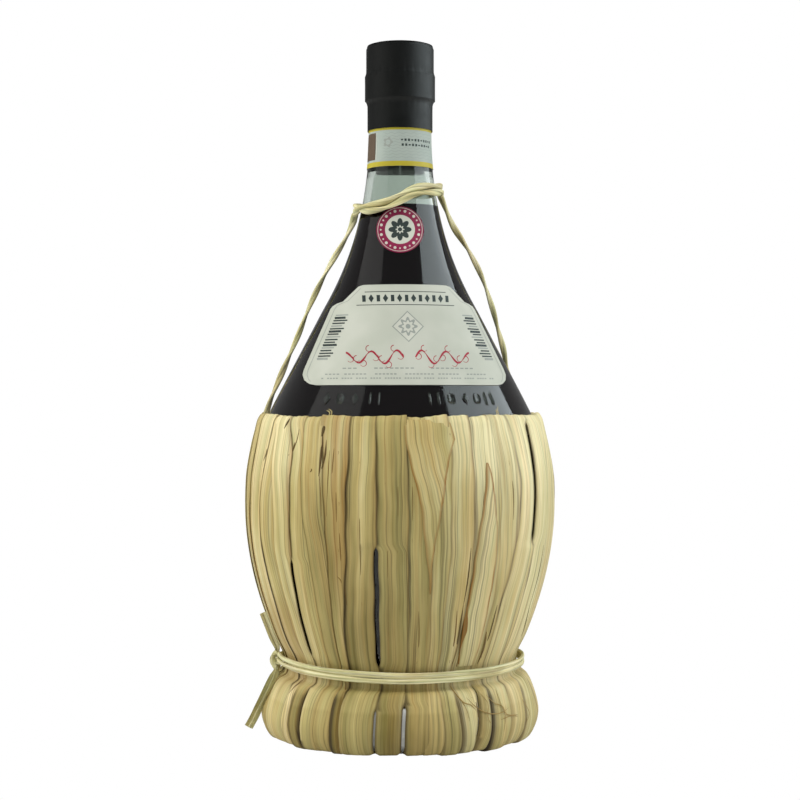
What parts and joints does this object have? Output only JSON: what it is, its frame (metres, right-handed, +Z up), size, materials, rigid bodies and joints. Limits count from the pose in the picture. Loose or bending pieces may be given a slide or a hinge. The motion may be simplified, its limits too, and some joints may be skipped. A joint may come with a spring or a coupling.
{
  "type": "straw-covered wine flask",
  "caption": "Round-bottomed glass wine flask in a jacket of folded straw blades, with a base ring, waist tie, carry cord, cork, capsule and papers.",
  "frame": {"origin": "middle of the base ring's foot, on the table plane", "axes": "+Z up along the flask's axis; the front label and the seal face -Y; the knot of the waist tie and the carry cord's left leg are on the -X side"},
  "size_m": [0.1336, 0.1338, 0.2974],
  "materials": {
    "glass": "gloss",
    "wine": "gloss",
    "cork": "matte",
    "foil": "satin",
    "strip_paper": "matte",
    "seal_paper": "satin",
    "label_paper": "matte",
    "plastic": "satin",
    "straw": "matte",
    "cord": "matte"
  },
  "bodies": {
    "bottle": {"flask": "glass", "wine": "wine", "capsule_skirt": "foil", "neck_strip": "strip_paper", "neck_seal": "seal_paper", "front_label": "label_paper", "base_ring": "plastic", "rim_hoop": "straw", "waist_tie": "cord", "tie_knot": "cord", "tie_end_low": "cord", "tie_end_up": "cord", "cord_leg_left": "cord", "cord_neck_loop": "cord", "cord_leg_right": "cord", "blade_01": "straw", "blade_02": "straw", "blade_03": "straw", "blade_04": "straw", "blade_05": "straw", "blade_06": "straw", "blade_07": "straw", "blade_08": "straw", "blade_09": "straw", "blade_10": "straw", "blade_11": "straw", "blade_12": "straw", "blade_13": "straw", "blade_14": "straw", "blade_15": "straw", "blade_16": "straw", "blade_17": "straw", "blade_18": "straw", "blade_19": "straw", "blade_20": "straw", "blade_21": "straw", "blade_22": "straw", "blade_23": "straw", "blade_24": "straw", "blade_25": "straw", "blade_26": "straw", "blade_27": "straw", "blade_28": "straw", "blade_29": "straw", "blade_30": "straw", "blade_31": "straw", "blade_32": "straw", "blade_33": "straw", "blade_34": "straw"},
    "capsule": {"capsule_top": "foil"},
    "stopper": {"cork": "cork"}
  },
  "joints": [
    {"name": "capsule_lift", "type": "slide", "parent": "bottle", "child": "capsule", "axis": [0, 0, 1], "range_m": [0, 0.12]},
    {"name": "cork_pull", "type": "slide", "parent": "bottle", "child": "stopper", "axis": [0, 0, 1], "range_m": [0, 0.06]}
  ],
  "couplings": [
    {"joint": "cork_pull", "follows": "capsule_lift", "ratio": 0.5}
  ]
}
